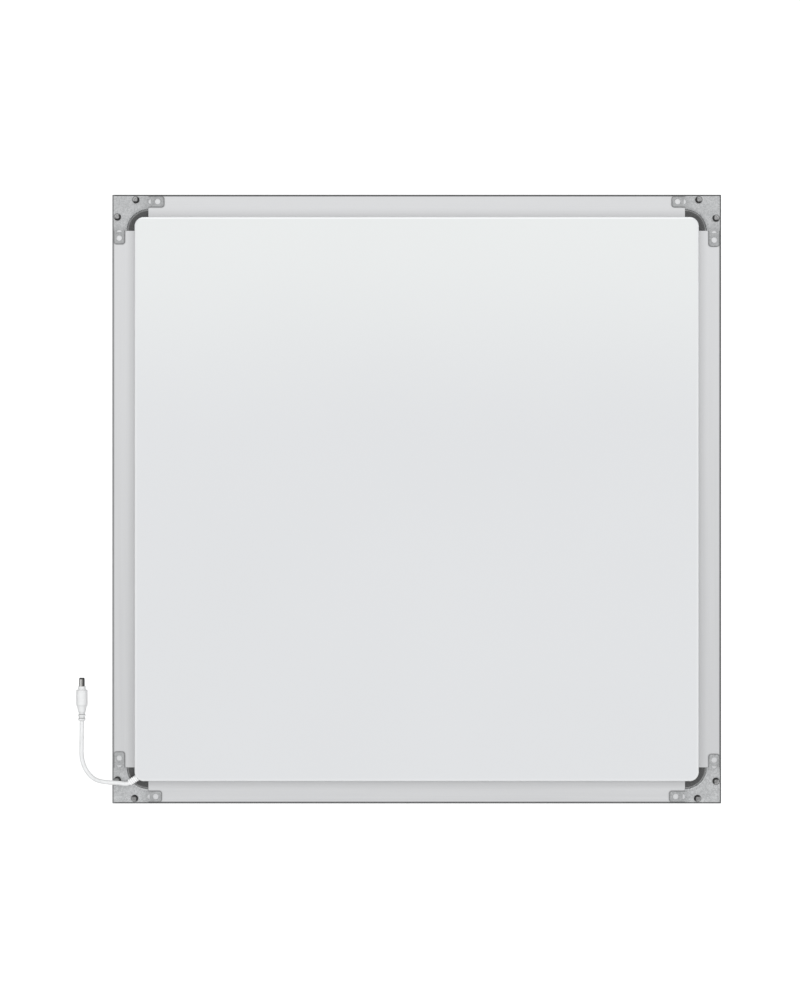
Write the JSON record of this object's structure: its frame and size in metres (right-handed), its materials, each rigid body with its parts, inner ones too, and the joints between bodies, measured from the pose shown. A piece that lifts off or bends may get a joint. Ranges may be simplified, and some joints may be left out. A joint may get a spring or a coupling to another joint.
{
  "type": "edge-lit ceiling led panel light",
  "caption": "Square recessed LED ceiling panel seen from its back: aluminium frame, corner brackets with mounting lugs, raised white back plate and a short DC lead with a round plug.",
  "frame": {"origin": "centre of the panel on the front face of the frame's rim", "axes": "+Z towards the back of the panel, +X right and +Y up when looking at the back with the lead at the lower left"},
  "size_m": [0.6305, 0.595, 0.0167],
  "materials": {
    "amber_tape": "thin amber film",
    "black_foam": "open matt foam",
    "black_insulation": "smooth",
    "black_plastic": "moulded",
    "clear_acrylic": "clear, polished, with a fine dot print",
    "galvanised_steel": "zinc coated with a faint spangle",
    "grey_tape": "soft matt tape",
    "led_package": "yellow phosphor in a white frame",
    "nickel_plate": "nickel plated",
    "opal_diffuser": "opal, fine matt grain",
    "rail_aluminium": "satin anodised, brushed lengthwise",
    "red_insulation": "smooth",
    "reflector_film": "white film",
    "silicone_pad": "translucent white, matt",
    "solder": "bright solder",
    "white_circuit_board": "white solder mask",
    "white_cord_pvc": "smooth satin PVC",
    "white_foam": "expanded foam",
    "white_moulded_pvc": "soft satin PVC",
    "white_painted_steel": "smooth satin powder coat",
    "zinc_screw": "bright zinc"
  },
  "bodies": {
    "root": {"back_plate": "white_painted_steel", "bracket_screws": "zinc_screw", "corner_bracket_bottom_left": "galvanised_steel", "corner_bracket_bottom_right": "galvanised_steel", "corner_bracket_top_left": "galvanised_steel", "corner_bracket_top_right": "galvanised_steel", "corner_seal_bottom_left": "black_foam", "corner_seal_bottom_right": "black_foam", "corner_seal_top_left": "black_foam", "corner_seal_top_right": "black_foam", "dc_lead": "white_cord_pvc", "foam_backing_sheet": "white_foam", "frame_rail_bottom": "rail_aluminium", "frame_rail_left": "rail_aluminium", "frame_rail_right": "rail_aluminium", "frame_rail_top": "rail_aluminium", "front_diffuser": "opal_diffuser", "guide_plate_bumpers": "silicone_pad", "lead_wire_black": "black_insulation", "lead_wire_red": "red_insulation", "led_chips_left": "led_package", "led_chips_right": "led_package", "led_strip_left": "white_circuit_board", "led_strip_right": "white_circuit_board", "light_guide_plate": "clear_acrylic", "link_wire_black": "black_insulation", "link_wire_red": "red_insulation", "plug_barrel": "nickel_plate", "plug_body": "white_moulded_pvc", "plug_contact": "nickel_plate", "plug_insulator": "black_plastic", "reflector_sheet": "reflector_film", "solder_joints": "solder", "strain_relief_bush": "white_moulded_pvc", "thermal_tape_left": "grey_tape", "thermal_tape_right": "grey_tape", "wire_tapes": "amber_tape"}
  },
  "joints": []
}
